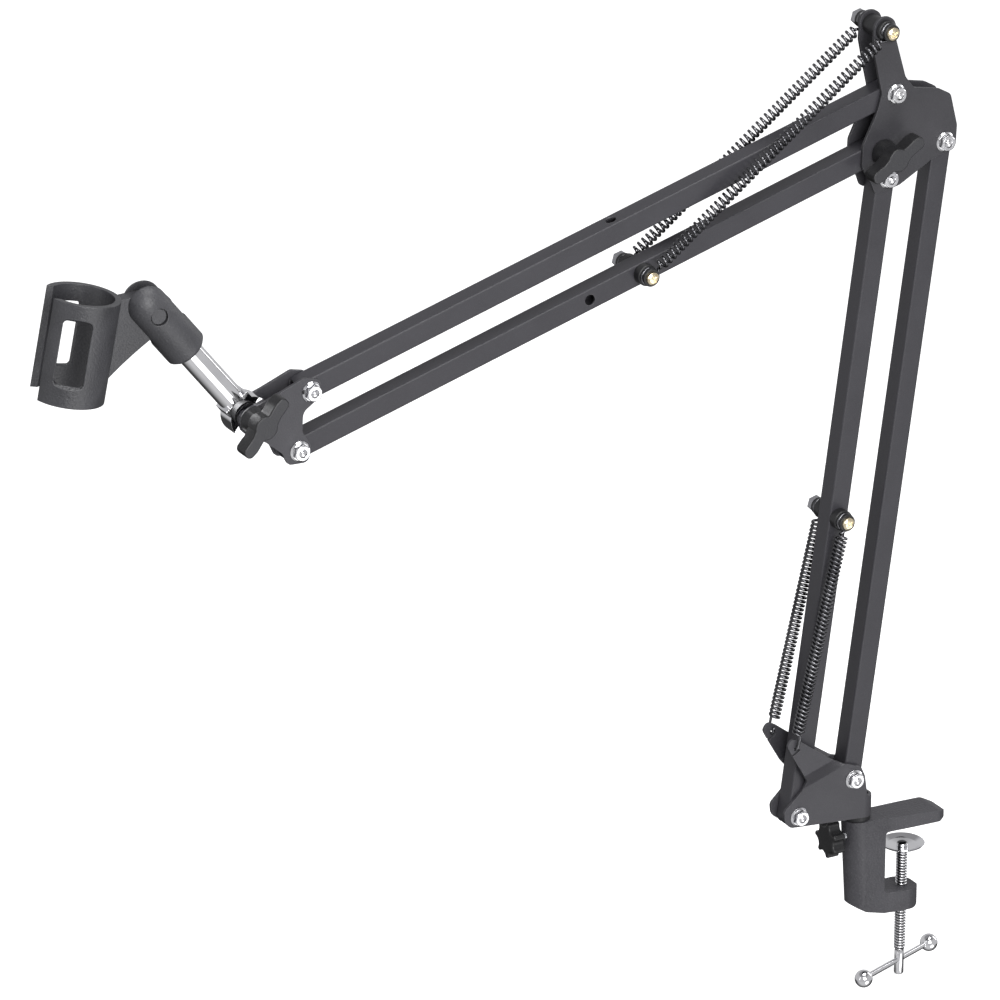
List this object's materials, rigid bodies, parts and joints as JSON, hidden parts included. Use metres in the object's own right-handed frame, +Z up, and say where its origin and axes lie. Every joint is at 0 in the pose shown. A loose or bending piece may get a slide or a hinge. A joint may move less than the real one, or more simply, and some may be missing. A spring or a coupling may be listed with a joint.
{
  "type": "microphone boom arm stand",
  "caption": "Desk-clamp scissor arm for a microphone: C-clamp, swivel base, sprung parallel tubes, elbow, tilting neck and a split clip.",
  "frame": {"origin": "underside of the clamp's upper jaw, where it rests on the desk top, on the axis of the clamp screw", "axes": "+Z up, away from the desk top; +X out of the clamp's mouth, over the desk; the arms lie in the XZ plane and reach towards -X"},
  "size_m": [0.5689, 0.0487, 0.586],
  "materials": {
    "frame_paint": "charcoal powder coat, fine satin grain",
    "tube_paint": "charcoal satin paint on square steel tube",
    "black_plastic": "black moulded nylon",
    "clip_plastic": "black fine-grained moulded plastic",
    "slip_plastic": "black nylon",
    "chrome": "bright plating",
    "black_steel": "black oxide steel",
    "bright_steel": "turned steel",
    "grey_nut": "grey plated steel",
    "brass": "bright yellow plating",
    "spring_steel": "dark oiled spring wire"
  },
  "bodies": {
    "clamp": {"clamp_frame": "frame_paint"},
    "pad": {"pressure_disc": "chrome"},
    "screw": {"clamp_screw": "chrome"},
    "tommy_bar": {"tommy_bar": "chrome", "tommy_bar_ends": "chrome"},
    "lock_knob": {"lock_knob": "black_plastic", "lock_stud": "bright_steel"},
    "base": {"thrust_washer": "slip_plastic", "swivel_pin": "bright_steel", "base_bracket": "frame_paint", "base_pivot_bolts": "black_steel", "base_pivot_nuts": "chrome", "base_slip_washers": "slip_plastic"},
    "lower_front": {"lower_front_tube": "tube_paint", "lower_post_screw": "brass", "lower_post_spools": "black_plastic", "lower_post_nut": "grey_nut", "lower_spring_near": "spring_steel", "lower_spring_far": "spring_steel"},
    "lower_rear": {"lower_rear_tube": "tube_paint"},
    "elbow": {"elbow_plate_near": "frame_paint", "elbow_plate_far": "frame_paint", "elbow_pivot_bolts": "black_steel", "elbow_pivot_nuts": "chrome", "elbow_slip_washers": "slip_plastic", "elbow_wing_bolt": "black_steel", "elbow_wing_washer": "black_plastic", "elbow_post_screw": "brass", "elbow_post_spools": "black_plastic", "elbow_post_spacer": "black_plastic", "elbow_post_nut": "grey_nut"},
    "elbow_wing": {"elbow_wing_knob": "black_plastic", "elbow_wing_insert": "brass"},
    "upper_lower": {"upper_lower_tube": "tube_paint", "upper_post_screw": "brass", "upper_post_spools": "black_plastic", "upper_post_nut": "grey_nut", "upper_spring_near": "spring_steel", "upper_spring_far": "spring_steel"},
    "upper_top": {"upper_top_tube": "tube_paint"},
    "front": {"front_plate_near": "frame_paint", "front_plate_far": "frame_paint", "front_pivot_bolts": "black_steel", "front_pivot_nuts": "chrome", "front_slip_washers": "slip_plastic", "neck_lock_bolt": "black_steel", "neck_wing_washer": "black_plastic"},
    "neck_wing": {"neck_wing_knob": "black_plastic", "neck_wing_insert": "brass"},
    "neck": {"neck_tube": "chrome"},
    "barrel": {"swivel_barrel": "clip_plastic", "clip_hinge_pin": "bright_steel", "hinge_caps": "clip_plastic"},
    "clip": {"mic_clip": "clip_plastic"}
  },
  "joints": [
    {"name": "clamp_travel", "type": "slide", "parent": "clamp", "child": "pad", "axis": [0, 0, 1], "range_m": [-0.0196, 0.0121]},
    {"name": "clamp_screw_turn", "type": "hinge", "parent": "pad", "child": "screw", "pos_m": [0, 0, 0], "axis": [0, 0, 1], "range_deg": [-4000, 2450]},
    {"name": "tommy_bar_slide", "type": "slide", "parent": "screw", "child": "tommy_bar", "axis": [0.9369, 0.3497, 0], "range_m": [-0.0203, 0.0252]},
    {"name": "lock_knob_turn", "type": "hinge", "parent": "clamp", "child": "lock_knob", "pos_m": [-0.045, 0, 0], "axis": [-1, 0, 0], "continuous": true},
    {"name": "base_swivel", "type": "hinge", "parent": "clamp", "child": "base", "pos_m": [-0.0315, 0, 0], "axis": [0, 0, 1], "continuous": true},
    {"name": "lower_arm_tilt", "type": "hinge", "parent": "base", "child": "lower_front", "pos_m": [-0.0753, 0, 0.023], "axis": [0, 1, 0], "range_deg": [-45, 12], "deforming": ["lower_spring_near", "lower_spring_far"]},
    {"name": "lower_rear_tilt", "type": "hinge", "parent": "base", "child": "lower_rear", "pos_m": [-0.039, 0, 0.0382], "axis": [0, 1, 0], "range_deg": [-45, 12]},
    {"name": "elbow_level", "type": "hinge", "parent": "lower_front", "child": "elbow", "pos_m": [-0.02598, 0, 0.39615], "axis": [0, 1, 0], "range_deg": [-12, 45]},
    {"name": "elbow_wing_turn", "type": "hinge", "parent": "elbow", "child": "elbow_wing", "pos_m": [-0.02977, 0, 0.41185], "axis": [0, 1, 0], "continuous": true},
    {"name": "upper_arm_tilt", "type": "hinge", "parent": "elbow", "child": "upper_lower", "pos_m": [-0.02977, 0, 0.41185], "axis": [0, 1, 0], "range_deg": [-25, 35], "deforming": ["upper_spring_near", "upper_spring_far"]},
    {"name": "upper_top_tilt", "type": "hinge", "parent": "elbow", "child": "upper_top", "pos_m": [-0.02227, 0, 0.44405], "axis": [0, 1, 0], "range_deg": [-25, 35]},
    {"name": "front_level", "type": "hinge", "parent": "upper_lower", "child": "front", "pos_m": [-0.38939, 0, 0.30554], "axis": [0, 1, 0], "range_deg": [-35, 25]},
    {"name": "neck_wing_turn", "type": "hinge", "parent": "front", "child": "neck_wing", "pos_m": [-0.4168, 0, 0.329], "axis": [0, 1, 0], "continuous": true},
    {"name": "neck_tilt", "type": "hinge", "parent": "front", "child": "neck", "pos_m": [-0.4168, 0, 0.329], "axis": [0, 1, 0], "range_deg": [-80, 45]},
    {"name": "barrel_turn", "type": "hinge", "parent": "neck", "child": "barrel", "pos_m": [-0.4168, 0, 0.329], "axis": [-0.6198, 0, 0.7848], "range_deg": [-80, 80]},
    {"name": "clip_tilt", "type": "hinge", "parent": "barrel", "child": "clip", "pos_m": [-0.47004, 0, 0.39641], "axis": [0.0465, 0.9982, 0.0368], "range_deg": [-23, 60]}
  ],
  "couplings": [
    {"joint": "clamp_travel", "follows": "clamp_screw_turn", "m_per_rad": 0.00027852},
    {"joint": "lower_rear_tilt", "follows": "lower_arm_tilt", "ratio": 1},
    {"joint": "elbow_level", "follows": "lower_arm_tilt", "ratio": -1},
    {"joint": "upper_top_tilt", "follows": "upper_arm_tilt", "ratio": 1},
    {"joint": "front_level", "follows": "upper_arm_tilt", "ratio": -1}
  ]
}
